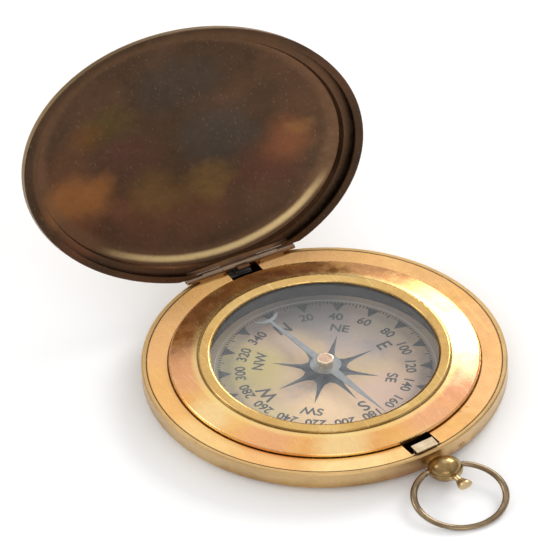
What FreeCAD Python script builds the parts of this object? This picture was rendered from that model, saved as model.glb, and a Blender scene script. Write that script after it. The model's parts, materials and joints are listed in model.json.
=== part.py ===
import FreeCAD, Part
import math
import os
from FreeCAD import Vector

# Push-button hunter-case pocket compass. Millimetres, +Z up.
# The origin is the centre of the case's flat underside. The hinge is at +Y and the pendant near -Y.
# The lid is built closed and then turned to its open stop. The bow lies down on the table.

# ---- driving dimensions ----
SEAM_R = 35.0            # outer radius of the flat cover plate
SEAM_Z = 8.8             # top face of the cover plate above the table
CASE_R = 35.8            # outer radius of the case wall
WALL = 0.8               # thickness of the pressed brass sheet
FIT = 0.05               # clearance of sliding and turning fits, on the radius
SEAT = 0.02              # gap between parts that are pressed together
CATCH_TURN = 6.0         # the catch stands this many degrees off the hinge line
PENDANT_TURN = 7.5       # and the pendant this many
LID_OPEN = 120.0         # angle between the closed and the open lid

# ---- case ----
PAN_CORNER = 3.4
PAN_INNER_R = CASE_R - WALL - 0.1
RIM_CHAMFER = 0.3
PLATE_INNER_R = 24.9
PLATE_GAP = 0.12         # the fine groove between the plate and the case's rim
RAISED_R = 30.5
RAISED_TOP = SEAM_Z + 3.1
BEZEL_R = 24.85
BEZEL_TOP = SEAM_Z + 4.1
GLASS_SIGHT_R = 22.3
CRYSTAL_R = 22.85
CRYSTAL_Z = SEAM_Z + 2.4
CUP_R = 24.0
CUP_WALL = 0.6
DIAL_TOP_Z = SEAM_Z - 4.8
DIAL_CARD_Z = DIAL_TOP_Z - 0.3
DIAL_BASE_Z = DIAL_CARD_Z - 0.3
CUP_FLOOR_Z = DIAL_BASE_Z - 0.5
DIAL_R = 23.3
POST_R = 0.9
NOTCH_HALF = 3.35
NOTCH_INNER = 30.1

# ---- needle ----
NEEDLE_Z = SEAM_Z - 2.4
NEEDLE_T = 0.25
NEEDLE_TURN = 9.0        # where the needle rests, counter-clockwise from the hinge line
HUB_R = 3.05
CAP_R = 1.7
CAP_TOP = SEAM_Z + 0.8
CAP_BORE_R = 0.9
NORTH_REACH = 17.0
SOUTH_REACH = 19.0

# ---- lid and hinge ----
LID_R = 36.0
HINGE_Y = 34.3
HINGE_Z = SEAM_Z + 1.1
TUBE_R = 0.95
PIN_R = 0.45
HINGE_HALF = 11.9
KNUCKLE_HALF = 4.05
LEAF_HALF = 11.2         # half the length of the lid's hinge leaf
LEAF_GAP = 0.06          # between the hinge tube and the leaf's edge
KNUCKLE_GAP = 0.06
LID_Z = SEAM_Z + 0.15
LIP_R = 34.3
BAND_Z = SEAM_Z + 1.75
DISH_R = 32.0
DISH_Z = SEAM_Z + 3.1
DOME_Z = SEAM_Z + 7.0

# ---- lift spring ----
LIFT_R = 33.5            # middle of the leaf, from the case's axis
LIFT_LOW = SEAM_Z - 1.75
LIFT_T = 0.4
LIFT_SCREW_R = 0.5
LIFT_SCREW_TURN = 38.0   # degrees from the hinge line round to the screw

# ---- catch, button and pendant ----
BUTTON_Z = 4.3
CATCH_R = 33.95
CATCH_T = 0.45
CATCH_HALF = 2.5
CATCH_PIVOT = 13.0       # degrees from the pendant to the catch spring's screw
CATCH_SCREW_R = 0.55
CATCH_SCREW_Z = 4.3
SCREW_MOUTH_R = 1.1
STEM_R = 0.75
STEM_GAP = 0.17
BALL_R = 3.55
BALL_Y = 39.1
HEAD_TIP = 45.9
BOW_WIRE_R = 0.72
BOW_R = 9.1              # to the middle of the bow's wire
BOW_ROOT = 4.0
BOW_TURN = -8.3          # the bow's pivot line, turned from the hinge line's direction

Z_AXIS = Vector(0, 0, 1)
X_AXIS = Vector(1, 0, 0)
ORIGIN = Vector(0, 0, 0)


def on_profile(item):
    """A profile point (radius, height) as a vector in the XZ plane."""
    return Vector(item[0], 0, item[1])


def profile_face(items):
    """A face from points (r, z). An item ((rm, zm), (r, z)) is an arc through its middle point."""
    edges = []
    last = on_profile(items[0])
    for item in items[1:] + items[:1]:
        if isinstance(item[0], tuple):
            end = on_profile(item[1])
            edges.append(Part.Arc(last, on_profile(item[0]), end).toShape())
        else:
            end = on_profile(item)
            edges.append(Part.LineSegment(last, end).toShape())
        last = end
    return Part.Face(Part.Wire(edges))


def lathe(items):
    """The solid swept by a profile once round the Z axis."""
    return profile_face(items).revolve(ORIGIN, Z_AXIS, 360)


def corner(cx, cz, radius, start, end):
    """A profile arc round (cx, cz), between two directions in degrees."""
    points = []
    for degrees in ((start + end) / 2, end):
        a = math.radians(degrees)
        points.append((cx + radius * math.cos(a), cz + radius * math.sin(a)))
    return tuple(points)


def dome(r_rim, z_rim, z_top):
    """A profile arc from (r_rim, z_rim) to a crown on the axis, level there."""
    rise = z_top - z_rim
    sphere = (r_rim ** 2 + rise ** 2) / (2 * rise)
    r_middle = r_rim / 2
    z_middle = z_top - sphere + math.sqrt(sphere ** 2 - r_middle ** 2)
    return (r_middle, z_middle), (0, z_top)


def ring(r_inner, r_outer, z_low, z_high):
    """A plain flat-sided ring round the Z axis."""
    return lathe([(r_inner, z_low), (r_outer, z_low), (r_outer, z_high), (r_inner, z_high)])


def disc(radius, z_low, z_high):
    return Part.makeCylinder(radius, z_high - z_low, Vector(0, 0, z_low))


def block(x, y, z):
    """A box between the low and high values given for each direction."""
    return Part.makeBox(x[1] - x[0], y[1] - y[0], z[1] - z[0], Vector(x[0], y[0], z[0]))


def turned(shape, degrees, centre=ORIGIN, axis=Z_AXIS):
    result = shape.copy()
    result.rotate(centre, axis, degrees)
    return result


def to_catch(shape):
    """Turn a piece that was built at -Y onto the catch's line."""
    return turned(shape, CATCH_TURN)


def to_pendant(shape):
    """Turn a piece that was built at -Y onto the pendant's line."""
    return turned(shape, PENDANT_TURN)


def front_rod(radius, r_inner, r_outer, height=BUTTON_Z):
    """A rod along the pendant's line, between two distances from the case's axis."""
    return Part.makeCylinder(radius, r_outer - r_inner, Vector(0, -r_inner, height), Vector(0, -1, 0))


def save(name, shape):
    shape.exportStep("parts/" + name + ".step")


# ---- case pieces ----
def case_pan():
    outer = CASE_R - PAN_CORNER
    inner_corner = PAN_CORNER - WALL
    pan = lathe([
        (0, 0), (outer, 0), corner(outer, PAN_CORNER, PAN_CORNER, -90, 0),
        (CASE_R, SEAM_Z - RIM_CHAMFER), (CASE_R - RIM_CHAMFER, SEAM_Z), (PAN_INNER_R, SEAM_Z),
        (PAN_INNER_R, PAN_CORNER), corner(PAN_INNER_R - inner_corner, PAN_CORNER, inner_corner, 0, -90),
        (0, WALL)])
    bore = to_pendant(front_rod(STEM_R + FIT, PAN_INNER_R - 1, CASE_R + 1))
    screw_hole = front_rod(CATCH_SCREW_R + SEAT, PAN_INNER_R - 1, CASE_R + 1, CATCH_SCREW_Z)
    mouth = Part.makeCone(CATCH_SCREW_R, SCREW_MOUTH_R, WALL, Vector(0, -CASE_R + WALL / 2, CATCH_SCREW_Z),
                          Vector(0, -1, 0))
    return pan.cut(bore).cut(to_catch(turned(screw_hole.fuse(mouth), CATCH_PIVOT)))


def cover_plate():
    plate = ring(PLATE_INNER_R, PAN_INNER_R - PLATE_GAP, SEAM_Z - WALL, SEAM_Z)
    half = (-NOTCH_HALF, NOTCH_HALF)
    tall = (SEAM_Z - 2, SEAM_Z + 2)
    hinge_notch = block(half, (NOTCH_INNER, CASE_R), tall)
    catch_notch = to_catch(block(half, (-CASE_R, -NOTCH_INNER), tall))
    screw_hole = turned(Part.makeCylinder(LIFT_SCREW_R + SEAT, WALL * 0.7, Vector(0, LIFT_R, SEAM_Z - WALL)),
                        LIFT_SCREW_TURN)
    return plate.cut(hinge_notch).cut(catch_notch).cut(screw_hole)


def raised_ring():
    """The domed ring, undercut where it stands on the plate."""
    undercut = 0.5
    shoulder = 0.6
    shoulder_z = SEAM_Z + 1.0
    inner = BEZEL_R + SEAT
    crest = (RAISED_R - 3.0, shoulder_z + 1.45)
    return lathe([
        (inner, SEAM_Z + SEAT), (RAISED_R - undercut, SEAM_Z + SEAT), (RAISED_R, SEAM_Z + undercut),
        (RAISED_R, shoulder_z), corner(RAISED_R - shoulder, shoulder_z, shoulder, 0, 60),
        (crest, (inner, RAISED_TOP))])


def glass_bezel():
    edge = 0.55
    return lathe([
        (CUP_R + FIT, SEAM_Z - WALL), (BEZEL_R - SEAT, SEAM_Z - WALL), (BEZEL_R - SEAT, BEZEL_TOP - edge),
        corner(BEZEL_R - SEAT - edge, BEZEL_TOP - edge, edge, 0, 90),
        (GLASS_SIGHT_R + edge, BEZEL_TOP),
        corner(GLASS_SIGHT_R + edge, BEZEL_TOP - edge, edge, 90, 180),
        (GLASS_SIGHT_R, CRYSTAL_Z + 0.95), (CRYSTAL_R + SEAT, CRYSTAL_Z + 0.95),
        (CRYSTAL_R + SEAT, CRYSTAL_Z + SEAT), (CUP_R + FIT, CRYSTAL_Z + SEAT)])


def crystal():
    rim = 0.8
    rise = 1.25
    return lathe([(0, CRYSTAL_Z), (CRYSTAL_R, CRYSTAL_Z), (CRYSTAL_R, CRYSTAL_Z + rim),
                  dome(CRYSTAL_R, CRYSTAL_Z + rim, CRYSTAL_Z + rise)])


def crystal_gasket():
    inner = CUP_R - CUP_WALL - SEAT
    return ring(inner - 0.75, inner, CRYSTAL_Z - 0.5, CRYSTAL_Z - SEAT)


def capsule_cup():
    inner = CUP_R - CUP_WALL
    return lathe([(0, CUP_FLOOR_Z), (CUP_R, CUP_FLOOR_Z), (CUP_R, CRYSTAL_Z - SEAT),
                  (inner, CRYSTAL_Z - SEAT), (inner, DIAL_BASE_Z), (0, DIAL_BASE_Z)])


def dial_plate():
    return ring(POST_R + SEAT, DIAL_R, DIAL_BASE_Z, DIAL_CARD_Z)


def dial_card():
    return ring(POST_R + SEAT, DIAL_R - 0.1, DIAL_CARD_Z, DIAL_TOP_Z)


def pivot_post():
    tip = CAP_TOP - 1.15
    return lathe([(0, DIAL_BASE_Z), (POST_R, DIAL_BASE_Z), (POST_R, DIAL_TOP_Z + 0.6), (0.4, NEEDLE_Z - 0.6),
                  (0.35, tip - 0.9), (0, tip)])


# ---- needle pieces ----
def needle_blade():
    """A hub disc, a north arm that ends in a crescent, and a long pointed south arm."""
    hub = disc(HUB_R, NEEDLE_Z, NEEDLE_Z + NEEDLE_T)
    lift = Vector(0, 0, NEEDLE_T)
    north = [(-0.75, 2.5), (0.75, 2.5), (0.35, NORTH_REACH + 0.3), (-0.35, NORTH_REACH + 0.3)]
    south = [(-0.95, -2.5), (0, -SOUTH_REACH), (0.95, -2.5)]
    blade = hub
    for outline in (north, south):
        points = [Vector(x, y, NEEDLE_Z) for x, y in outline]
        blade = blade.fuse(Part.Face(Part.makePolygon(points + points[:1])).extrude(lift))
    crescent_r = 3.1
    bite_r = 4.0
    bite_shift = 1.85
    centre_y = NORTH_REACH + crescent_r
    moon = Part.makeCylinder(crescent_r, NEEDLE_T, Vector(0, centre_y, NEEDLE_Z))
    bite = Part.makeCylinder(bite_r, 1, Vector(0, centre_y + bite_shift, NEEDLE_Z - 0.5))
    blade = blade.fuse(moon.cut(bite)).cut(disc(CAP_BORE_R + 0.3, NEEDLE_Z - 1, NEEDLE_Z + 1))
    return turned(blade.removeSplitter(), NEEDLE_TURN)


def needle_cap():
    """The cap turned with a spigot that is riveted through the hub disc."""
    edge = 0.25
    spigot = CAP_BORE_R + 0.3 - SEAT
    return lathe([
        (CAP_BORE_R, NEEDLE_Z), (spigot, NEEDLE_Z), (spigot, NEEDLE_Z + NEEDLE_T),
        (CAP_R, NEEDLE_Z + NEEDLE_T), (CAP_R, CAP_TOP - edge),
        corner(CAP_R - edge, CAP_TOP - edge, edge, 0, 90),
        (0, CAP_TOP), (0, CAP_TOP - 0.5), (CAP_BORE_R, CAP_TOP - 0.5)])


def needle_jewel():
    radius = CAP_BORE_R - SEAT
    top = CAP_TOP - 0.52
    return lathe([(0, top), (radius, top), (radius, top - 1.1), (0.7, top - 1.1), (0, top - 0.5)])


# ---- lid and hinge pieces ----
def lid_open(shape):
    """Turn a piece of the closed lid about the hinge to its open stop."""
    return turned(shape, -LID_OPEN, Vector(0, HINGE_Y, HINGE_Z), X_AXIS)


def lid_shell():
    """The pressed lid: an inward lip, a flat band, a ridge and a shallow dish under a low dome."""
    lip_top = LID_Z + 0.5
    wall_inner = LID_R - WALL
    crown = 1.0
    roof = BAND_Z + WALL
    shoulder = (LID_R - crown, roof)
    inner_middle = dome(DISH_R, DISH_Z, DOME_Z)[0]
    shell = lathe([
        (0, DOME_Z), (inner_middle, (DISH_R, DISH_Z)), (DISH_R + 0.4, BAND_Z),
        (wall_inner, BAND_Z), (wall_inner, lip_top), (LIP_R, lip_top), (LIP_R, LID_Z),
        (LID_R - 0.2, LID_Z), (LID_R, LID_Z + 0.2), (LID_R, roof - crown),
        corner(LID_R - crown, roof - crown, crown, 0, 90),
        dome(shoulder[0], shoulder[1], DOME_Z + WALL)])
    chord = HINGE_Y - TUBE_R - LEAF_GAP
    hinge_room = block((-20, 20), (chord, LID_R + 1), (0, 3 * SEAM_Z))
    return lid_open(shell.cut(hinge_room))


def tube(x_low, x_high, bore):
    place = Vector(x_low, HINGE_Y, HINGE_Z)
    outer = Part.makeCylinder(TUBE_R, x_high - x_low, place, X_AXIS)
    return outer, Part.makeCylinder(bore, x_high - x_low, place, X_AXIS)


def lid_knuckle():
    """The middle knuckle with its leaf under the lid's band, and the heel that presses the lift spring."""
    half = KNUCKLE_HALF - KNUCKLE_GAP
    outer, bore = tube(-half, half, PIN_R + FIT)
    leaf_z = (BAND_Z - 0.45, BAND_Z - SEAT)
    leaf = block((-half, half), (HINGE_Y - 2.2, HINGE_Y), leaf_z)
    wing = block((-LEAF_HALF, LEAF_HALF), (HINGE_Y - 2.2, HINGE_Y - TUBE_R - LEAF_GAP), leaf_z)
    heel = block((-1.3, 1.3), (HINGE_Y - 0.4, HINGE_Y + 0.4), (SEAM_Z - 0.9, HINGE_Z))
    return lid_open(outer.fuse(leaf).fuse(wing).fuse(heel).cut(bore).removeSplitter())


def case_knuckle(side):
    """One of the case's two knuckles, on a foot that stands on the rim. side is -1 for left."""
    near = KNUCKLE_HALF * side
    far = HINGE_HALF * side
    outer, bore = tube(min(near, far), max(near, far), PIN_R + SEAT)
    foot_end = 9.4 * side
    foot_span = (min(near, foot_end), max(near, foot_end))
    foot = block(foot_span, (HINGE_Y - 0.85, HINGE_Y + 0.3), (SEAM_Z, HINGE_Z))
    return outer.fuse(foot).cut(bore).removeSplitter()


def hinge_pin():
    half = HINGE_HALF - 0.15
    return Part.makeCylinder(PIN_R, 2 * half, Vector(-half, HINGE_Y, HINGE_Z), X_AXIS)


# ---- springs, catch and button ----
def sector(r_inner, r_outer, z_low, z_high, start, sweep):
    """A flat part of a ring, from start degrees round to start + sweep."""
    band = profile_face([(r_inner, z_low), (r_outer, z_low), (r_outer, z_high), (r_inner, z_high)])
    return turned(band.revolve(ORIGIN, Z_AXIS, sweep), start)


def lift_spring():
    """The leaf under the cover plate that throws the lid up, with its raised tip in the hinge notch."""
    leaf = sector(LIFT_R - 0.9, LIFT_R + 0.9, LIFT_LOW, LIFT_LOW + LIFT_T, 87, 45)
    pad = block((-1.6, 1.6), (LIFT_R - 0.8, LIFT_R + 0.8), (LIFT_LOW, SEAM_Z - 0.6))
    hole = turned(Part.makeCylinder(LIFT_SCREW_R + 0.1, 2, Vector(0, LIFT_R, LIFT_LOW - 1)), LIFT_SCREW_TURN)
    return leaf.fuse(pad).cut(hole).removeSplitter()


def lift_spring_screw():
    head = Part.makeCylinder(1.0, 0.5, Vector(0, LIFT_R, LIFT_LOW - 0.7))
    shank = Part.makeCylinder(LIFT_SCREW_R, 2.1, Vector(0, LIFT_R, LIFT_LOW - 0.7))
    slot = block((-1.5, 1.5), (LIFT_R - 0.15, LIFT_R + 0.15), (LIFT_LOW - 1, LIFT_LOW - 0.5))
    return turned(head.fuse(shank).cut(slot), LIFT_SCREW_TURN)


def catch_spring():
    """The upright spring strip inside the wall, with the nib that hooks over the lid's lip."""
    inner = CATCH_R - CATCH_T
    strip = sector(inner, CATCH_R, BUTTON_Z - 1.8, SEAM_Z - 1.2, -98, 23.5)
    riser = block((-CATCH_HALF, CATCH_HALF), (-CATCH_R + 0.12, -inner + 0.12), (SEAM_Z - 2.2, SEAM_Z + 1.3))
    nib_side = [(inner - 0.9, SEAM_Z + 1.55), (inner - 0.6, SEAM_Z + 0.82), (34.75, SEAM_Z + 0.82),
                (34.75, SEAM_Z + 0.95)]
    points = [Vector(-CATCH_HALF, -r, z) for r, z in nib_side]
    nib = Part.Face(Part.makePolygon(points + points[:1])).extrude(Vector(2 * CATCH_HALF, 0, 0))
    hole = turned(front_rod(CATCH_SCREW_R + 0.2, inner - 1, CATCH_R + 1, CATCH_SCREW_Z), CATCH_PIVOT)
    return to_catch(strip.fuse(riser).fuse(nib).cut(hole).removeSplitter())


def catch_block():
    """The boss inside the wall that the catch spring's screw goes through."""
    solid = block((-1.2, 1.2), (-CASE_R, -CATCH_R - 0.2), (CATCH_SCREW_Z - 0.85, CATCH_SCREW_Z + 1.3))
    solid = solid.common(disc(PAN_INNER_R - SEAT, 0, SEAM_Z))
    hole = front_rod(CATCH_SCREW_R + SEAT, CATCH_R - 1, CASE_R, CATCH_SCREW_Z)
    return to_catch(turned(solid.cut(hole), CATCH_PIVOT))


def catch_screw():
    inner = CATCH_R - CATCH_T - 0.2
    head = front_rod(1.2, inner - 0.7, inner, CATCH_SCREW_Z)
    shank = front_rod(CATCH_SCREW_R, inner - 0.1, PAN_INNER_R + 0.25, CATCH_SCREW_Z)
    slot = block((-0.15, 0.15), (-inner + 0.4, -inner + 1), (CATCH_SCREW_Z - 2, CATCH_SCREW_Z + 2))
    return to_catch(turned(head.fuse(shank).cut(slot), CATCH_PIVOT))


def pendant_neck():
    neck = front_rod(2.1, CASE_R - 1, BALL_Y - BALL_R + 0.9).cut(front_rod(STEM_R + FIT, CASE_R - 2, BALL_Y))
    seat = Part.makeSphere(BALL_R + SEAT, Vector(0, -BALL_Y, BUTTON_Z))
    return to_pendant(neck.cut(disc(CASE_R + SEAT, 0, SEAM_Z)).cut(seat))


def bow_frame(shape):
    """Put a piece drawn round the bow's pivot, with the pivot line along X, onto the ball."""
    a = math.radians(PENDANT_TURN - 90)
    result = turned(shape, BOW_TURN)
    result.translate(Vector(BALL_Y * math.cos(a), BALL_Y * math.sin(a), BUTTON_Z))
    return result


def pendant_ball():
    """The pendant's ball, hollowed where it meets the wall, with the stem's bore and the bow's side holes."""
    ball = to_pendant(Part.makeSphere(BALL_R, Vector(0, -BALL_Y, BUTTON_Z)))
    ball = ball.cut(disc(CASE_R + SEAT, -1, SEAM_Z + 1))
    ball = ball.cut(to_pendant(front_rod(STEM_R + FIT, BALL_Y - 2 * BALL_R, BALL_Y + 2 * BALL_R)))
    for side in (-1, 1):
        hole = Part.makeCylinder(BOW_WIRE_R + FIT, BALL_R, Vector(1.75 * side, 0, 0), Vector(side, 0, 0))
        ball = ball.cut(bow_frame(hole))
    return ball


def bow_ring():
    """The bow: most of a wire circle whose two ends turn in to sit in the ball's side holes."""
    centre_y = -math.sqrt(BOW_R ** 2 - BOW_ROOT ** 2)
    gap_half = math.degrees(math.asin(BOW_ROOT / BOW_R))
    section = Part.Face(Part.Wire(Part.makeCircle(BOW_WIRE_R, Vector(BOW_R, 0, 0), Vector(0, 1, 0))))
    wire = turned(section.revolve(ORIGIN, Z_AXIS, 360 - 2 * gap_half), 90 + gap_half)
    wire.translate(Vector(0, centre_y, 0))
    for side in (-1, 1):
        end = Part.makeCylinder(BOW_WIRE_R, BOW_ROOT - 1.85, Vector(1.95 * side, 0, 0), Vector(side, 0, 0))
        wire = wire.fuse(end)
    droop = math.degrees(math.asin((BUTTON_Z - BOW_WIRE_R) / (BOW_R - centre_y)))
    return bow_frame(turned(wire, droop, ORIGIN, X_AXIS))


def push_stem():
    """The stem, from just clear of the catch spring out through the ball."""
    return to_pendant(front_rod(STEM_R, CATCH_R + STEM_GAP, HEAD_TIP - 1.1))


def stem_collar():
    """The collar inside the wall that keeps the stem from falling out."""
    collar = front_rod(1.25, PAN_INNER_R - 0.65, PAN_INNER_R - 0.15).cut(front_rod(STEM_R + SEAT, 30, CASE_R))
    return to_pendant(collar)


def push_head():
    """The button's flared head."""
    root = HEAD_TIP - 2.0
    flare = Part.makeCone(STEM_R + 0.2, 1.55, 1.5, Vector(0, -root, BUTTON_Z), Vector(0, -1, 0))
    rim = front_rod(1.55, root + 1.5, HEAD_TIP)
    socket = front_rod(STEM_R + SEAT, root - 1, HEAD_TIP - 1.1 + SEAT)
    return to_pendant(flare.fuse(rim).cut(socket).removeSplitter())


NODES = {
    "case_pan": case_pan, "cover_plate": cover_plate, "raised_ring": raised_ring, "glass_bezel": glass_bezel,
    "crystal": crystal, "crystal_gasket": crystal_gasket, "capsule_cup": capsule_cup,
    "dial_plate": dial_plate, "dial_card": dial_card, "pivot_post": pivot_post,
    "needle_blade": needle_blade, "needle_cap": needle_cap, "needle_jewel": needle_jewel,
    "lid_shell": lid_shell, "lid_knuckle": lid_knuckle, "hinge_pin": hinge_pin,
    "lift_spring": lift_spring, "lift_spring_screw": lift_spring_screw, "catch_spring": catch_spring,
    "catch_block": catch_block, "catch_screw": catch_screw, "pendant_neck": pendant_neck,
    "pendant_ball": pendant_ball, "bow_ring": bow_ring, "push_stem": push_stem, "stem_collar": stem_collar,
    "push_head": push_head,
}

os.makedirs("parts", exist_ok=True)
for name, make in NODES.items():
    save(name, make())
save("hinge_knuckle_left", case_knuckle(-1))
save("hinge_knuckle_right", case_knuckle(1))
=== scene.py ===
import json
import math
import bmesh
import bpy
from mathutils import Matrix, Vector


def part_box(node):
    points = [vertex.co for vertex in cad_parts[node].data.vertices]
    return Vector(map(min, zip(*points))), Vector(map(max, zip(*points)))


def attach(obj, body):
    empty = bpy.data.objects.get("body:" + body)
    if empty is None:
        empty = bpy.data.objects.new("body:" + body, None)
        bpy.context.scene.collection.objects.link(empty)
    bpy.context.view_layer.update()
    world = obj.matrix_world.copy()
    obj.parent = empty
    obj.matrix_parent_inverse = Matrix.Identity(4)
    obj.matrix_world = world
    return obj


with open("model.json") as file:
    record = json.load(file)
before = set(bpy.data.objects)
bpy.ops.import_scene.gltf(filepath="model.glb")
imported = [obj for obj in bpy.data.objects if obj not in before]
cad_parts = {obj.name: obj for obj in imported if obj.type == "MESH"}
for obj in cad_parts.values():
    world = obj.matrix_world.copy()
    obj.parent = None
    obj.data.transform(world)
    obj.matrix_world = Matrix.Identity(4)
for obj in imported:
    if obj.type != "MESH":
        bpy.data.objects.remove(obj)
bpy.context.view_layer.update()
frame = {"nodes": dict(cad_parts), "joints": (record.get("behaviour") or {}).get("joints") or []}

MM = 0.001
NODES = frame["nodes"]

# ---- places taken from the frame ----
DIAL_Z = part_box("dial_card")[1].z
DIAL_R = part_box("dial_card")[1].x
SEAM_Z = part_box("cover_plate")[1].z
LID_HINGE = next(j for j in frame["joints"] if j["name"] == "lid_hinge")
HINGE = Vector(LID_HINGE["pos_m"])
LID_LEAN = math.radians(60.0)
CASE_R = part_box("case_pan")[1].x
CATCH_SCREW_BEARING = 19.0         # degrees from -Y towards +X
CATCH_SCREW_Z = 4.3 * MM
LID_HOLLOW_FACES = (0, -0.866, 0.5)     # the way the open lid's hollow side faces

# ---- dial print, as shares of the card's radius ----
DIAL_TURN = 4.0
ROSE_TIP = 0.477
ROSE_WAIST = 0.175
ROSE_FLANK = [(9.5, 0.205), (4.0, 0.275), (1.7, 0.37)]
LETTER_R = 0.575
SMALL_LETTER_R = 0.558
NORTH_R = 0.65
NUMBER_R = 0.708
TICK_OUTER = 0.905
TICK_INNER = 0.852
TRIANGLE_INNER = 0.79
TICK_HALF = 0.42                   # degrees
TRIANGLE_HALF = 3.6                # degrees
CIRCLE_R = 0.925
CIRCLE_WIDTH = 0.008
CIRCLE_STEPS = 144
LETTER_SIZE, SMALL_LETTER_SIZE, NORTH_SIZE, NUMBER_SIZE = 4.2, 3.0, 4.3, 2.8     # mm
LETTER_WEIGHT = 0.07 * MM          # how far the letters' outlines are grown
PRINT_LIFT = 0.012 * MM

# ---- camera: 57 degrees above the table, with picture heights squeezed to 0.739 of picture widths ----
VIEW_TURN = 27.4
VIEW_ELEVATION = 57.1
VIEW_ROLL = -2.07
SQUEEZE = 0.739
FRAME_SIZE = 550
SENSOR = 36.0
FOCAL = 22000.0
SEAM_CENTRE_AT = (50.4, -85.5)     # where the plate's centre stands, right of and above the frame's middle
SCALE_UP = 3.79 / MM               # frame units per metre, up the picture

# ---- stage ----
FLOOR_HALF = 12.0
FLOOR_DROP = 0.02 * MM             # keeps the floor clear of the case's underside
SKY_LEVEL, SKY_ABOVE = (0.30, 0.30, 0.31, 1), (1.0, 1.0, 1.0, 1)
SKY_FULL_AT = 0.75                 # height share at which the sky reaches its upper colour
SKY_STRENGTH = 0.98


# ---- materials: colours are linear, sizes in metres ----
BUMP_DEPTH = 0.1 * MM
PATCH_RAGGED = 9 * MM              # how far noise pulls a patch's edge about
LINE_SOFT = 0.15 * MM
SHARP_ANGLE = 32.0                 # a CAD edge that turns by more stays sharp
SPECK = (0.06, 0.04, 0.02)
# dark grime, also used as painted shade in the plate's line beside the raised ring
GRIME_AND_SHADE = (0.03, 0.018, 0.008)
# PALE_HIGHLIGHT patches are painted highlights on the brass
PINK, SALMON, PALE_HIGHLIGHT, COPPER = (0.80, 0.37, 0.22), (0.88, 0.44, 0.24), (0.98, 0.78, 0.40), (0.58, 0.29, 0.15)


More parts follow.
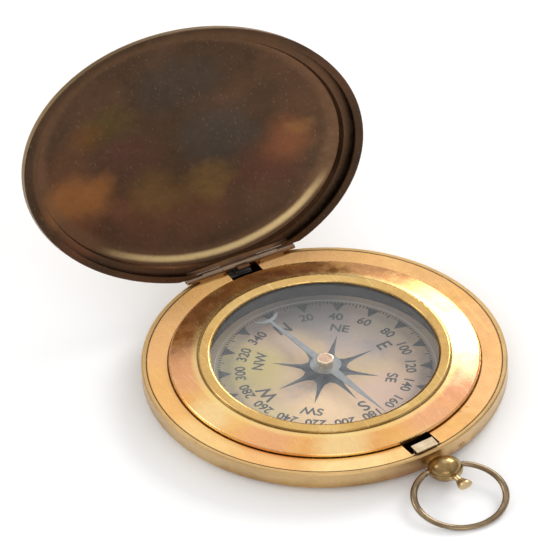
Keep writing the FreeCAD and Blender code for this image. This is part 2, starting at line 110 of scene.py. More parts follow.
class Nodes:
    """A new material's node tree, with short calls for the nodes that these materials share."""

    def __init__(self, name):
        self.material = bpy.data.materials.new(name)
        self.material.use_nodes = True
        self.tree = self.material.node_tree
        self.shader = self.tree.nodes["Principled BSDF"]
        self.place = self.node("ShaderNodeTexCoord").outputs["Object"]
        self.normal = self.node("ShaderNodeTexCoord").outputs["Normal"]

    def node(self, kind, **values):
        new = self.tree.nodes.new(kind)
        for key, value in values.items():
            setattr(new, key, value)
        return new

    def link(self, source, target):
        if isinstance(source, bpy.types.NodeSocket):
            self.tree.links.new(source, target)
        else:
            target.default_value = source

    def noise(self, scale, detail=4.0, distortion=0.0, seed=0.0, roughness=0.55):
        """A noise pattern, from 0 to 1."""
        new = self.node("ShaderNodeTexNoise", noise_dimensions="4D")
        self.link(self.place, new.inputs["Vector"])
        new.inputs["W"].default_value = seed
        new.inputs["Scale"].default_value = scale
        new.inputs["Detail"].default_value = detail
        new.inputs["Roughness"].default_value = roughness
        new.inputs["Distortion"].default_value = distortion
        return new.outputs["Fac"]

    def ramp(self, value, stops):
        """stops are (position, colour); a plain number stands for a grey."""
        new = self.node("ShaderNodeValToRGB")
        self.link(value, new.inputs["Fac"])
        marks = new.color_ramp.elements
        while len(marks) < len(stops):
            marks.new(0.5)
        for mark, (position, colour) in zip(marks, stops):
            mark.position = position
            mark.color = (*colour, 1) if isinstance(colour, tuple) else (colour, colour, colour, 1)
        return new.outputs["Color"]

    def span(self, value, low, high, to_low=0.0, to_high=1.0):
        new = self.node("ShaderNodeMapRange", interpolation_type="SMOOTHSTEP")
        self.link(value, new.inputs["Value"])
        for key, number in (("From Min", low), ("From Max", high), ("To Min", to_low), ("To Max", to_high)):
            new.inputs[key].default_value = number
        return new.outputs["Result"]

    def mix(self, factor, first, second):
        new = self.node("ShaderNodeMix", data_type="RGBA", blend_type="MIX")
        self.link(factor, new.inputs[0])
        for socket, value in ((new.inputs[6], first), (new.inputs[7], second)):
            self.link((*value, 1) if isinstance(value, tuple) else value, socket)
        return new.outputs[2]

    def math(self, operation, first, second=0.0):
        new = self.node("ShaderNodeMath", operation=operation)
        self.link(first, new.inputs[0])
        self.link(second, new.inputs[1])
        return new.outputs[0]

    def distance(self, point, waviness, seed):
        """Distance to a point, measured through a wavy noise so that a patch gets a ragged edge."""
        wave = self.node("ShaderNodeVectorMath", operation="MULTIPLY_ADD")
        noise = self.node("ShaderNodeTexNoise", noise_dimensions="4D")
        self.link(self.place, noise.inputs["Vector"])
        noise.inputs["W"].default_value = seed
        noise.inputs["Scale"].default_value = 120.0
        noise.inputs["Detail"].default_value = 6.0
        noise.inputs["Roughness"].default_value = 0.62
        self.link(noise.outputs["Color"], wave.inputs[0])
        wave.inputs[1].default_value = (waviness, waviness, waviness)
        self.link(self.place, wave.inputs[2])
        gap = self.node("ShaderNodeVectorMath", operation="DISTANCE")
        self.link(wave.outputs[0], gap.inputs[0])
        gap.inputs[1].default_value = [c + waviness / 2 for c in point]
        return gap.outputs["Value"]

    def facing(self, direction):
        """How far the surface faces a direction fixed to the piece, from -1 to 1."""
        new = self.node("ShaderNodeVectorMath", operation="DOT_PRODUCT")
        self.link(self.normal, new.inputs[0])
        new.inputs[1].default_value = direction
        return new.outputs["Value"]

    def scratches(self, turn, scale, seed):
        """Fine straight scratches across the piece, turned about the vertical axis."""
        stretch = self.node("ShaderNodeMapping")
        self.link(self.place, stretch.inputs["Vector"])
        stretch.inputs["Rotation"].default_value = (0, 0, math.radians(turn))
        stretch.inputs["Scale"].default_value = (1.0, 0.02, 0.5)
        new = self.node("ShaderNodeTexNoise", noise_dimensions="4D")
        self.link(stretch.outputs["Vector"], new.inputs["Vector"])
        new.inputs["W"].default_value = seed
        new.inputs["Scale"].default_value = scale
        new.inputs["Detail"].default_value = 3.0
        return new.outputs["Fac"]

    def radius(self):
        """Distance from the case's vertical axis."""
        flat = self.node("ShaderNodeVectorMath", operation="MULTIPLY")
        self.link(self.place, flat.inputs[0])
        flat.inputs[1].default_value = (1, 1, 0)
        length = self.node("ShaderNodeVectorMath", operation="LENGTH")
        self.link(flat.outputs[0], length.inputs[0])
        return length.outputs["Value"]

    def height(self):
        split = self.node("ShaderNodeSeparateXYZ")
        self.link(self.place, split.inputs[0])
        return split.outputs["Z"]

    def line(self, at, half, soft):
        """A mask for a thin ring at a radius from the case's axis."""
        off = self.math("ABSOLUTE", self.math("SUBTRACT", self.radius(), at))
        return self.span(off, half + soft, half)

    def band(self, centre, inner, outer, soft):
        """A ring-shaped mask at a distance from a point."""
        gap = self.distance(centre, 0.0006, 61.0)
        return self.math("MULTIPLY", self.span(gap, inner - soft, inner + soft),
                         self.span(gap, outer + soft, outer - soft))

    def rings(self, scale, distortion=0.0):
        """Concentric turning marks round the vertical axis."""
        new = self.node("ShaderNodeTexWave", wave_type="RINGS", rings_direction="Z")
        self.link(self.place, new.inputs["Vector"])
        new.inputs["Scale"].default_value = scale
        new.inputs["Distortion"].default_value = distortion
        return new.outputs["Fac"]

    def bump(self, height, strength):
        new = self.node("ShaderNodeBump")
        self.link(height, new.inputs["Height"])
        new.inputs["Strength"].default_value = strength
        new.inputs["Distance"].default_value = BUMP_DEPTH
        self.link(new.outputs["Normal"], self.shader.inputs["Normal"])


def lighter(tone, gain, lift):
    return tuple(min(1.0, c * gain + lift) for c in tone)


def patina(name, tones, rough=(0.24, 0.42), seed=0.0, patch_scale=45.0, patches=(), grime=0.35, turned=0.0,
           bands=(), lines=(), foot_shade=0.0, edges=0.5, wear=1.0, inside=None):
    """Aged brass: a slow drift of tones, local patches, dark specks and grime, worn lighter edges.

    patches are (point, radius, tone, share), and lines are (radius, half width, tone, share).
    bands are (centre, inner radius, outer radius, softness, height that they fade above, tone, share).
    foot_shade is the height above the seam under which the piece darkens, as painted shade at its foot.
    inside is a direction and three tones, which the surface that faces away from the direction takes.
    """
    n = Nodes(name)
    drift = n.noise(patch_scale, detail=5.0, distortion=0.6, seed=seed)
    steps = len(tones) - 1
    colour = n.ramp(drift, [(0.32 + 0.36 * i / steps, tone) for i, tone in enumerate(tones)])
    for i, (point, radius, tone, share) in enumerate(patches):
        near = n.span(n.distance(point, PATCH_RAGGED, seed + i), radius, radius * 0.4, 0.0, share)
        colour = n.mix(near, colour, tone)
    for centre, inner, outer, soft, low_z, tone, share in bands:
        low = n.span(n.height(), low_z + 0.006, low_z - 0.004, 0.0, share)
        colour = n.mix(n.math("MULTIPLY", n.band(centre, inner, outer, soft), low), colour, tone)
    if inside is not None:
        direction, outer_tones = inside
        outward = n.span(n.facing(direction), 0.1, -0.1)
        outer_tone = n.ramp(n.noise(70.0, detail=7.0, distortion=0.8, seed=seed + 31),
                            [(0.34 + 0.16 * i, tone) for i, tone in enumerate(outer_tones)])
        colour = n.mix(outward, colour, outer_tone)
    mottle = n.noise(900.0, detail=6.0, seed=seed + 3, roughness=0.7)
    colour = n.mix(n.span(mottle, 0.35, 0.75, 0.0, 0.24 * wear), colour, tuple(c * 0.55 for c in tones[0]))
    dirt = n.noise(260.0, detail=8.0, seed=seed + 7, roughness=0.75)
    colour = n.mix(n.span(dirt, 0.56, 0.74, 0.0, grime * wear), colour, SPECK)
    dots = n.noise(2600.0, detail=2.0, seed=seed + 11)
    colour = n.mix(n.span(dots, 0.70, 0.76, 0.0, 0.6 * wear), colour, SPECK)
    bright = n.noise(2100.0, detail=1.0, seed=seed + 17)
    colour = n.mix(n.span(bright, 0.755, 0.80, 0.0, 0.4 * wear), colour, lighter(tones[-1], 1.5, 0.1))
    edge = n.node("ShaderNodeNewGeometry").outputs["Pointiness"]
    colour = n.mix(n.span(edge, 0.515, 0.56, 0.0, edges), colour, lighter(tones[-1], 1.25, 0.05))
    for at, half, tone, share in lines:
        colour = n.mix(n.math("MULTIPLY", n.line(at, half, LINE_SOFT), share), colour, tone)
    # painted shade: the piece darkens near the seam, where it stands on the plate
    if foot_shade:
        colour = n.mix(n.span(n.height(), SEAM_Z + foot_shade, SEAM_Z + foot_shade * 0.5), colour, (0.02, 0.012, 0.006))
    n.shader.inputs["Metallic"].default_value = 1.0
    scratch = n.math("ADD", n.scratches(25.0 + 7 * seed, 2400.0, seed), n.scratches(-50.0, 1900.0, seed + 1))
    colour = n.mix(n.span(scratch, 1.12, 1.3, 0.0, 0.35), colour, lighter(tones[-1], 1.3, 0.06))
    n.link(colour, n.shader.inputs["Base Color"])
    scuff = n.noise(420.0, detail=6.0, seed=seed + 23, roughness=0.65)
    n.link(n.span(scuff, 0.3, 0.7, *rough), n.shader.inputs["Roughness"])
    height = n.math("ADD", n.math("MULTIPLY", mottle, 0.35), n.math("MULTIPLY", scuff, 0.65))
    if turned:
        height = n.math("ADD", height, n.math("MULTIPLY", n.rings(2600.0, 0.6), turned))
    n.bump(height, 0.09)
    return n.material


def lid_point(across, up):
    """A point on the open lid, in millimetres right of its middle line and up from the hinge."""
    slope = Vector((0, math.cos(LID_LEAN), math.sin(LID_LEAN)))
    return Vector((across * MM, HINGE.y, HINGE.z)) + slope * up * MM


def brass_plate():
    # the pale patches are painted highlights
    patches = [((-0.024, 0.022, SEAM_Z), 0.013, PINK, 0.6), ((-0.031, -0.010, SEAM_Z), 0.010, PALE_HIGHLIGHT, 0.5),
               ((0.012, 0.031, SEAM_Z), 0.016, COPPER, 0.8), ((0.027, 0.016, SEAM_Z), 0.013, COPPER, 0.7),
               ((0.024, -0.022, SEAM_Z), 0.013, SALMON, 0.8), ((0.031, -0.006, SEAM_Z), 0.010, PINK, 0.6),
               ((-0.012, -0.032, SEAM_Z), 0.012, PALE_HIGHLIGHT, 1.0), ((0.002, -0.033, SEAM_Z), 0.007, PALE_HIGHLIGHT, 0.5),
               ((-0.026, -0.022, SEAM_Z), 0.007, SALMON, 0.5), ((-0.018, 0.029, SEAM_Z), 0.006, COPPER, 0.5),
               ((0.0158, -0.0270, SEAM_Z), 0.0009, GRIME_AND_SHADE, 0.9),
               ((0.0166, -0.0264, SEAM_Z), 0.0006, GRIME_AND_SHADE, 0.9)]
    # The plate's line at 30.6 mm, beside the raised ring's edge, is painted shade with grime; the line at its
    # outer edge is a dark joint.
    return patina("plate_brass", [(0.66, 0.26, 0.09), (0.80, 0.36, 0.11), (0.88, 0.47, 0.16)], (0.2, 0.34),
                  seed=1.0, patches=patches, grime=0.08, wear=0.5, turned=0.12,
                  lines=[(0.0306, 0.00012, GRIME_AND_SHADE, 0.9), (0.03475, 0.00006, GRIME_AND_SHADE, 0.7)])


def brass_raised():
    # the pale patches are painted highlights
    patches = [((-0.024, 0.010, SEAM_Z), 0.011, PINK, 0.65), ((-0.013, 0.024, SEAM_Z), 0.012, COPPER, 0.5),
               ((0.006, 0.028, SEAM_Z), 0.013, COPPER, 0.6), ((0.022, 0.018, SEAM_Z), 0.011, COPPER, 0.45),
               ((0.027, -0.008, SEAM_Z), 0.009, PALE_HIGHLIGHT, 0.7), ((0.019, -0.020, SEAM_Z), 0.010, PINK, 0.8),
               ((0.009, -0.027, SEAM_Z), 0.009, SALMON, 0.8), ((-0.010, -0.026, SEAM_Z), 0.008, PALE_HIGHLIGHT, 0.6),
               ((-0.022, -0.017, SEAM_Z), 0.008, SALMON, 0.6), ((-0.028, -0.004, SEAM_Z), 0.007, PALE_HIGHLIGHT, 0.6)]
    # foot_shade paints shade along the ring's base where it meets the plate
    return patina("raised_brass", [(0.76, 0.34, 0.14), (0.88, 0.46, 0.15), (0.95, 0.58, 0.21)], (0.18, 0.32),
                  seed=2.0, patches=patches, grime=0.06, turned=0.15, wear=0.5, foot_shade=0.0005,
                  lines=[(0.02492, 0.00005, GRIME_AND_SHADE, 0.6)])


def brass_case():
    """The case's duller wall and underside: its top edge is worn bright, and a near-black spot at the screw's
    hole is painted shade.
    """
    tilt = math.radians(CATCH_SCREW_BEARING)
    hole = (math.sin(tilt) * CASE_R, -math.cos(tilt) * CASE_R, CATCH_SCREW_Z)
    top = (0, 0, SEAM_Z)
    # the pale patch on the wall is a painted highlight
    patches = [((-0.020, -0.029, 0.006), 0.012, (0.60, 0.36, 0.12), 0.7),
               ((-0.034, -0.008, 0.004), 0.010, PALE_HIGHLIGHT, 0.2),
               ((0.030, -0.019, 0.005), 0.010, (0.42, 0.31, 0.17), 0.6),
               ((0.0, -0.036, 0.002), 0.009, COPPER, 0.5),
               ((0.0, 0.036, 0.004), 0.014, (0.34, 0.22, 0.10), 0.6),
               # painted shade: a near-black spot where the screw's hole is
               (hole, 0.0016, (0.008, 0.006, 0.004), 1.0)]
    return patina("case_brass", [(0.28, 0.155, 0.05), (0.40, 0.235, 0.08), (0.50, 0.31, 0.115)], (0.26, 0.42),
                  seed=4.0, patches=patches, grime=0.35, edges=0.8,
                  bands=[(top, CASE_R - 0.0001, CASE_R + 0.0002, 0.0002, 1.0, (0.95, 0.80, 0.50), 0.35)])


def brass_lid():
    """The dark, heat-tinted inside of the lid, with a painted highlight along the lower side of its ridge."""
    copper, amber, red = (0.34, 0.135, 0.045), (0.22, 0.12, 0.042), (0.23, 0.085, 0.04)
    olive, purple = (0.095, 0.067, 0.022), (0.115, 0.05, 0.038)
    grey, rust = (0.088, 0.07, 0.056), (0.17, 0.07, 0.038)
    patches = [(lid_point(8, 34), 0.014, grey, 0.7), (lid_point(4, 52), 0.014, (0.06, 0.05, 0.04), 0.6),
               (lid_point(-12, 47), 0.009, olive, 0.8), (lid_point(-17, 46), 0.008, (0.16, 0.07, 0.025), 0.7),
               (lid_point(-11, 38), 0.011, purple, 0.75), (lid_point(-25, 40), 0.010, rust, 0.5),
               (lid_point(-13, 20), 0.012, rust, 0.7), (lid_point(-3, 15), 0.011, rust, 0.6),
               (lid_point(14, 22), 0.010, (0.13, 0.05, 0.033), 0.7), (lid_point(-8, 25), 0.010, amber, 0.7),
               (lid_point(2, 23), 0.009, amber, 0.85), (lid_point(6, 23), 0.006, amber, 0.7),
               (lid_point(-26, 30), 0.010, copper, 0.8), (lid_point(-20, 30), 0.008, copper, 0.7),
               (lid_point(-27, 22), 0.008, rust, 0.8), (lid_point(-19, 24), 0.006, (0.26, 0.10, 0.055), 0.6),
               (lid_point(20, 28), 0.009, red, 0.85), (lid_point(23, 30), 0.005, (0.28, 0.135, 0.045), 0.7)]
    centre = lid_point(0, 36)
    # the second band is a painted highlight in pale gold along the ridge, kept to the part below 18.5 mm
    bands = [(centre, 0.0300, 0.0335, 0.0012, centre.z + 0.03, (0.20, 0.105, 0.055), 0.5),
             (centre, 0.0312, 0.0326, 0.0005, 0.0185, (0.80, 0.58, 0.28), 0.9)]
    return patina("lid_brass", [(0.060, 0.036, 0.021), (0.088, 0.050, 0.029), (0.13, 0.066, 0.038)],
                  (0.3, 0.46), seed=5.0, wear=0.6, patches=patches, bands=bands, grime=0.25, edges=0.0,
                  inside=(LID_HOLLOW_FACES, [(0.27, 0.17, 0.075), (0.36, 0.24, 0.105), (0.46, 0.31, 0.14)]))


def steel(name, tone, seed):
    """Steel with clouds and brown stain patches."""
    n = Nodes(name)
    cloud = n.noise(300.0, detail=6.0, seed=seed)
    colour = n.mix(n.span(cloud, 0.35, 0.7), tone, tuple(c * 0.7 for c in tone))
    stain = n.noise(700.0, detail=4.0, seed=seed + 4)
    colour = n.mix(n.span(stain, 0.62, 0.74, 0.0, 0.5), colour, (0.16, 0.11, 0.07))
    n.link(colour, n.shader.inputs["Base Color"])
    n.shader.inputs["Metallic"].default_value = 1.0
    n.link(n.span(cloud, 0.3, 0.7, 0.3, 0.5), n.shader.inputs["Roughness"])
    n.bump(n.noise(3000.0, detail=3.0, seed=seed + 8), 0.08)
    return n.material


def lacquer():
    n = Nodes("black_lacquer")
    n.link(n.ramp(n.noise(500.0, seed=3.0), [(0.35, (0.012, 0.012, 0.014)), (0.7, (0.035, 0.035, 0.04))]),
           n.shader.inputs["Base Color"])
    n.link(n.span(n.noise(900.0, seed=4.0), 0.3, 0.7, 0.4, 0.65), n.shader.inputs["Roughness"])
    n.bump(n.noise(2500.0), 0.1)
    return n.material


def card():
    """The aged dial card: blotches of beige, pink, yellow and grey, with painted shade as a grey ring towards
    its rim and a dark grey blotch at its far side.
    """
    n = Nodes("card")
    colour = n.ramp(n.noise(140.0, detail=5.0, distortion=0.7, seed=9.0),
                    [(0.30, (0.30, 0.25, 0.23)), (0.43, (0.48, 0.34, 0.25)), (0.54, (0.58, 0.40, 0.24)),
                     (0.66, (0.54, 0.43, 0.20)), (0.76, (0.52, 0.34, 0.29))])
    blotches_and_shade = [((-0.013, 0.008), 0.012, (0.46, 0.38, 0.12), 0.75),
              ((-0.006, -0.015), 0.015, (0.84, 0.58, 0.33), 0.8),
              ((0.008, -0.013), 0.010, (0.64, 0.42, 0.32), 0.7),
              ((0.012, 0.006), 0.012, (0.33, 0.28, 0.27), 0.7),
              # painted shade: the dark grey blotch at the far side, under the cup wall
              ((0.006, 0.017), 0.012, (0.17, 0.165, 0.18), 0.85),
              ((-0.002, 0.011), 0.006, (0.56, 0.42, 0.32), 0.6),
              ((-0.005, 0.002), 0.005, (0.60, 0.42, 0.25), 0.5),
              ((-0.017, -0.006), 0.007, (0.62, 0.52, 0.25), 0.6)]
    for i, (spot, radius, tone, share) in enumerate(blotches_and_shade):
        gap = n.distance((*spot, DIAL_Z), 0.007, 30.0 + i)
        colour = n.mix(n.span(gap, radius, radius * 0.3, 0.0, share), colour, tone)
    # painted shade: a grey ring towards the rim, under the cup wall and bezel
    colour = n.mix(n.span(n.radius(), 0.0168, 0.0192, 0.0, 0.42), colour, (0.12, 0.12, 0.12))
    fleck = n.noise(1500.0, detail=5.0, seed=12.0, roughness=0.7)
    colour = n.mix(n.span(fleck, 0.5, 0.75, 0.0, 0.35), colour, (0.16, 0.14, 0.13))
    n.link(colour, n.shader.inputs["Base Color"])
    n.link(n.span(fleck, 0.3, 0.7, 0.45, 0.7), n.shader.inputs["Roughness"])
    n.bump(n.noise(2200.0, detail=4.0, seed=13.0), 0.12)
    return n.material


def ink(name, dark, light):
    n = Nodes(name)
    n.link(n.ramp(n.noise(1300.0, detail=6.0, seed=21.0, roughness=0.7), [(0.38, dark), (0.72, light)]),
           n.shader.inputs["Base Color"])
    n.link(n.span(n.noise(800.0, seed=22.0), 0.3, 0.7, 0.45, 0.7), n.shader.inputs["Roughness"])
    return n.material


def rubber():
    n = Nodes("gasket_rubber")
    n.link(n.ramp(n.noise(700.0, seed=31.0), [(0.3, (0.015, 0.015, 0.016)), (0.7, (0.04, 0.04, 0.042))]),
           n.shader.inputs["Base Color"])
    n.link(n.span(n.noise(1200.0, seed=32.0), 0.3, 0.7, 0.6, 0.85), n.shader.inputs["Roughness"])
    return n.material


def glass():
    """Clear glass with a faint haze of dust and fine smears, open to light on its way to the dial."""
    n = Nodes("crystal_glass")
    n.shader.inputs["Base Color"].default_value = (0.98, 0.985, 0.985, 1)
    n.shader.inputs["Transmission Weight"].default_value = 1.0
    n.shader.inputs["IOR"].default_value = 1.5
    n.link(n.span(n.noise(160.0, detail=6.0, seed=41.0), 0.4, 0.75, 0.0, 0.06), n.shader.inputs["Roughness"])
    haze = n.node("ShaderNodeBsdfDiffuse")
    haze.inputs["Color"].default_value = (0.75, 0.77, 0.78, 1)
    smear = n.span(n.noise(120.0, detail=7.0, seed=42.0, roughness=0.7), 0.35, 0.8, 0.002, 0.02)
    dust = n.span(n.noise(2300.0, detail=1.0, seed=43.0), 0.76, 0.80, 0.0, 0.5)
    dusty = n.node("ShaderNodeMixShader")
    n.link(n.math("ADD", smear, dust), dusty.inputs[0])
    n.link(n.shader.outputs[0], dusty.inputs[1])
    n.link(haze.outputs[0], dusty.inputs[2])
    through = n.node("ShaderNodeMixShader")
    n.link(n.node("ShaderNodeLightPath").outputs["Is Shadow Ray"], through.inputs[0])
    n.link(dusty.outputs[0], through.inputs[1])
    n.link(n.node("ShaderNodeBsdfTransparent").outputs[0], through.inputs[2])
    n.link(through.outputs[0], n.tree.nodes["Material Output"].inputs["Surface"])
    return n.material


def floor_material():
    n = Nodes("floor_white")
    n.link(n.ramp(n.noise(2.0, seed=51.0), [(0.3, (0.93, 0.93, 0.93)), (0.7, (0.95, 0.95, 0.95))]),
           n.shader.inputs["Base Color"])
    n.shader.inputs["Roughness"].default_value = 0.9
    n.shader.inputs["Specular IOR Level"].default_value = 0.1
    return n.material


def clothe(material, *names):
    for name in names:
        slots = NODES[name].data.materials
        slots.clear()
        slots.append(material)


def smooth(obj):
    """Shade a CAD node smooth, with its real edges kept sharp."""
    for face in obj.data.polygons:
        face.use_smooth = True
    obj.data.set_sharp_from_angle(angle=math.radians(SHARP_ANGLE))


def dress_nodes():
    clothe(brass_plate(), "cover_plate")
    clothe(brass_raised(), "raised_ring")
    clothe(patina("bezel_brass", [(0.62, 0.37, 0.12), (0.73, 0.46, 0.16), (0.82, 0.56, 0.23)], (0.16, 0.3),
                  seed=3.0, grime=0.12, turned=0.2, lines=[(0.02478, 0.00005, GRIME_AND_SHADE, 0.5)]), "glass_bezel")
    clothe(brass_case(), "case_pan")
    clothe(brass_lid(), "lid_shell")
    antique = patina("dark_brass", [(0.21, 0.13, 0.05), (0.34, 0.22, 0.09), (0.47, 0.33, 0.15)], (0.18, 0.34),
                     seed=6.0, patch_scale=160.0, grime=0.4)
    clothe(antique, "pendant_ball", "pendant_neck", "stem_collar", "catch_block", "dial_plate")
    clothe(patina("bow_brass", [(0.17, 0.12, 0.07), (0.25, 0.18, 0.11), (0.34, 0.25, 0.15)], (0.16, 0.3),
                  seed=12.0, patch_scale=160.0, grime=0.4), "bow_ring")
    clothe(patina("button_brass", [(0.36, 0.24, 0.11), (0.46, 0.32, 0.15), (0.56, 0.41, 0.21)], (0.26, 0.4),
                  seed=7.0, patch_scale=220.0, grime=0.3), "push_stem", "push_head")
    clothe(patina("hinge_brass", [(0.11, 0.07, 0.045), (0.16, 0.10, 0.065), (0.22, 0.145, 0.09)], (0.26, 0.4),
                  seed=8.0, patch_scale=200.0, grime=0.4),
           "hinge_knuckle_left", "hinge_knuckle_right", "lid_knuckle")
    clothe(patina("cap_brass", [(0.55, 0.33, 0.22), (0.66, 0.42, 0.28), (0.74, 0.52, 0.34)], (0.2, 0.32),
                  seed=9.0, patch_scale=400.0, grime=0.25, edges=0.0,
                  lines=[(0.00155, 0.00012, (0.95, 0.80, 0.55), 0.9)]), "needle_cap")
    clothe(patina("catch_metal", [(0.30, 0.20, 0.10), (0.50, 0.36, 0.21), (0.72, 0.58, 0.40)], (0.28, 0.42),
                  seed=10.0, patch_scale=420.0, grime=0.8), "catch_spring")
    clothe(steel("needle_steel", (0.27, 0.28, 0.29), seed=1.0), "needle_blade", "pivot_post")
    clothe(steel("spring_steel", (0.30, 0.30, 0.31), seed=2.0),
           "lift_spring", "lift_spring_screw", "catch_screw", "hinge_pin")
    clothe(lacquer(), "capsule_cup")
    clothe(card(), "dial_card")
    clothe(rubber(), "crystal_gasket")
    clothe(glass(), "crystal", "needle_jewel")
    for obj in NODES.values():
        smooth(obj)


# ---- dial print ----
def dial_spot(bearing, radius):
    """A point on the card at a compass bearing, at a share of its radius."""
    a = math.radians(bearing - DIAL_TURN)
    return Vector((math.sin(a) * radius * DIAL_R, math.cos(a) * radius * DIAL_R, DIAL_Z + PRINT_LIFT))


def on_card(name, mesh):
    piece = bpy.data.objects.new(name, mesh)
    bpy.context.scene.collection.objects.link(piece)
    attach(piece, "case")
    return piece


def flat_piece(name, polygons, *materials):
    """A thin printed piece from polygons, each a list of points and the number of its material."""
    mesh = bpy.data.meshes.new(name)
    shape = bmesh.new()
    for points, slot in polygons:
        face = shape.faces.new([shape.verts.new(p) for p in points])
        face.material_index = slot
        face.normal_update()
        if face.normal.z < 0:
            face.normal_flip()
    shape.to_mesh(mesh)
    shape.free()
    for material in materials:
        mesh.materials.append(material)
    return on_card(name, mesh)


def rose(dark, light):
    """The eight-pointed rose, each point in two halves."""
    polygons = []
    for point in range(8):
        bearing = 45 * point
        reach = ROSE_TIP if point % 2 == 0 else ROSE_TIP * 0.98
        middle = dial_spot(0, 0)
        tip = dial_spot(bearing, reach)
        for side, slot in ((-1, 0), (1, 1)):
            flank = [dial_spot(bearing + side * 22.5, ROSE_WAIST)]
            flank += [dial_spot(bearing + side * angle, share) for angle, share in ROSE_FLANK]
            outline = [middle, *flank, tip]
            polygons.append((outline if side < 0 else outline[::-1], slot))
    return flat_piece("dial_rose", polygons, dark, light)


def wedge(bearing, half_width, outer, inner, tip_share=1.0):
    """A mark that narrows from outer to inner; tip_share is the inner width over the outer width."""
    tip = half_width * tip_share
    return [dial_spot(bearing - half_width, outer), dial_spot(bearing + half_width, outer),
            dial_spot(bearing + tip, inner), dial_spot(bearing - tip, inner)]


def graduations(dark):
    polygons = []
    for degree in range(0, 360, 2):
        inner = TICK_INNER if degree % 10 == 0 else (TICK_INNER + TICK_OUTER) / 2
        polygons.append((wedge(degree, TICK_HALF, TICK_OUTER, inner), 0))
    for degree in range(0, 360, 20):
        polygons.append((wedge(degree, TRIANGLE_HALF, TICK_OUTER - 0.01, TRIANGLE_INNER, 0.06), 0))
    return flat_piece("dial_graduations", polygons, dark)


def circle_line(name, radius, width, material):
    polygons = []
    for i in range(CIRCLE_STEPS):
        a, b = 360 * i / CIRCLE_STEPS, 360 * (i + 1) / CIRCLE_STEPS
        polygons.append(([dial_spot(a, radius + width), dial_spot(b, radius + width), dial_spot(b, radius),
                          dial_spot(a, radius)], 0))
    return flat_piece(name, polygons, material)


def lettering(dark):
    """All the letters and numbers as one printed piece, with their tops to the rim."""
    large, small = (LETTER_R, LETTER_SIZE), (SMALL_LETTER_R, SMALL_LETTER_SIZE)
    texts = [("N", 0, NORTH_R, NORTH_SIZE)]
    texts += [(name, 45 * i, *(small if i % 2 else large))
              for i, name in enumerate(["NE", "E", "SE", "S", "SW", "W", "NW"], 1)]
    texts += [(str(degree), degree, NUMBER_R, NUMBER_SIZE) for degree in range(20, 360, 20)]
    shape = bmesh.new()
    for body, bearing, radius, height in texts:
        curve = bpy.data.curves.new("text", "FONT")
        curve.body = body
        curve.size = height * MM
        curve.offset = LETTER_WEIGHT
        curve.align_x = "CENTER"
        curve.align_y = "CENTER"
        holder = bpy.data.objects.new("text", curve)
        bpy.context.scene.collection.objects.link(holder)
        bpy.context.view_layer.update()
        mesh = bpy.data.meshes.new_from_object(holder.evaluated_get(bpy.context.evaluated_depsgraph_get()))
        turn = Matrix.Rotation(-math.radians(bearing - DIAL_TURN), 4, "Z")
        mesh.transform(Matrix.Translation(dial_spot(bearing, radius)) @ turn)
        shape.from_mesh(mesh)
        bpy.data.objects.remove(holder)
        bpy.data.meshes.remove(mesh)
        bpy.data.curves.remove(curve)
    mesh = bpy.data.meshes.new("dial_lettering")
    shape.to_mesh(mesh)
    shape.free()
    mesh.materials.clear()
    mesh.materials.append(dark)
    return on_card("dial_lettering", mesh)


def print_dial():
    dark = ink("dial_ink", (0.022, 0.026, 0.03), (0.09, 0.10, 0.10))
    blue = ink("rose_ink_dark", (0.022, 0.028, 0.038), (0.07, 0.08, 0.095))
    grey = ink("rose_ink_light", (0.05, 0.058, 0.07), (0.11, 0.12, 0.14))
    pale = ink("circle_ink", (0.42, 0.42, 0.38), (0.5, 0.5, 0.45))
    rose(blue, grey)
    graduations(dark)
    circle_line("dial_circle", CIRCLE_R, CIRCLE_WIDTH, pale)
    lettering(dark)


# ---- stage, light and camera ----
def make_floor():
    mesh = bpy.data.meshes.new("floor")
    corners = [(x * FLOOR_HALF, y * FLOOR_HALF, 0) for x, y in ((-1, -1), (1, -1), (1, 1), (-1, 1))]
    mesh.from_pydata(corners, [], [(0, 1, 2, 3)])
    mesh.materials.append(floor_material())
    floor = bpy.data.objects.new("floor", mesh)
    floor.location.z = -FLOOR_DROP
    bpy.context.scene.collection.objects.link(floor)


def softbox(name, place, target, size, power):
    data = bpy.data.lights.new(name, "AREA")
    data.shape = "RECTANGLE"
    data.size, data.size_y = size
    data.energy = power
    lamp = bpy.data.objects.new(name, data)
    lamp.location = place
    lamp.rotation_mode = "QUATERNION"
    lamp.rotation_quaternion = (Vector(target) - Vector(place)).to_track_quat("-Z", "Y")
    lamp.visible_camera = False
    bpy.context.scene.collection.objects.link(lamp)


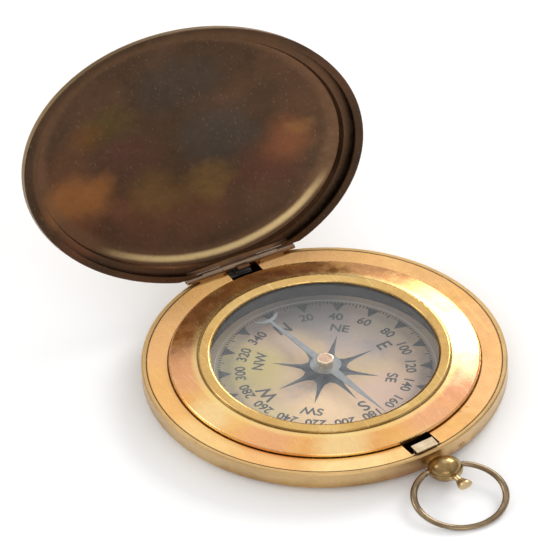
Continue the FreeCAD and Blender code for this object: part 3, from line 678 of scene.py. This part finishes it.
def make_light():
    world = bpy.data.worlds.new("studio")
    world.use_nodes = True
    tree = world.node_tree
    sky = tree.nodes["Background"]
    coord = tree.nodes.new("ShaderNodeTexCoord")
    split = tree.nodes.new("ShaderNodeSeparateXYZ")
    tree.links.new(coord.outputs["Generated"], split.inputs[0])
    ramp = tree.nodes.new("ShaderNodeValToRGB")
    tree.links.new(split.outputs["Z"], ramp.inputs["Fac"])
    marks = ramp.color_ramp.elements
    marks[0].position, marks[0].color = 0.0, SKY_LEVEL
    marks[1].position, marks[1].color = SKY_FULL_AT, SKY_ABOVE
    tree.links.new(ramp.outputs["Color"], sky.inputs["Color"])
    sky.inputs["Strength"].default_value = SKY_STRENGTH
    bpy.context.scene.world = world
    softbox("key", (0.75, 0.40, 0.60), (0, 0, 0.01), (0.5, 0.5), 5.5)
    softbox("top", (-0.75, 0.35, 0.55), (0, 0, 0), (0.3, 0.3), 1.2)
    softbox("front", (-0.35, -0.9, 0.30), (0, 0.02, 0.03), (0.6, 0.25), 1.3)


def make_camera():
    """A long-lens camera. Its sideways axis leans back, which squeezes the picture's heights."""
    turn, lift, roll = (math.radians(v) for v in (VIEW_TURN, VIEW_ELEVATION, VIEW_ROLL))
    forward = Vector((math.sin(turn) * math.cos(lift), math.cos(turn) * math.cos(lift), -math.sin(lift)))
    level = Vector((math.cos(turn), -math.sin(turn), 0))
    upright = level.cross(forward)
    right = level * math.cos(roll) + upright * math.sin(roll)
    up = upright * math.cos(roll) - level * math.sin(roll)
    lean = math.acos(SQUEEZE)
    side = right * math.cos(lean) - forward * math.sin(lean)
    aim = side * SEAM_CENTRE_AT[0] + up * SEAM_CENTRE_AT[1] + forward * FOCAL
    place = Vector((0, 0, SEAM_Z)) - aim / SCALE_UP
    columns = (side, up, -forward, place)
    data = bpy.data.cameras.new("camera")
    data.sensor_fit = "HORIZONTAL"
    data.sensor_width = SENSOR
    data.lens = SENSOR * FOCAL / FRAME_SIZE
    data.clip_start, data.clip_end = 0.1, 100.0
    camera = bpy.data.objects.new("camera", data)
    squeeze = bpy.data.objects.new("camera_squeeze", None)
    for new in (camera, squeeze):
        bpy.context.scene.collection.objects.link(new)
    camera.parent = squeeze
    rows = [[column[row] for column in columns] for row in range(3)]
    camera.matrix_parent_inverse = Matrix([*rows, [0, 0, 0, 1]])
    bpy.context.scene.camera = camera


dress_nodes()
print_dial()
make_floor()
make_light()
make_camera()
bpy.context.scene.view_settings.view_transform = "Standard"
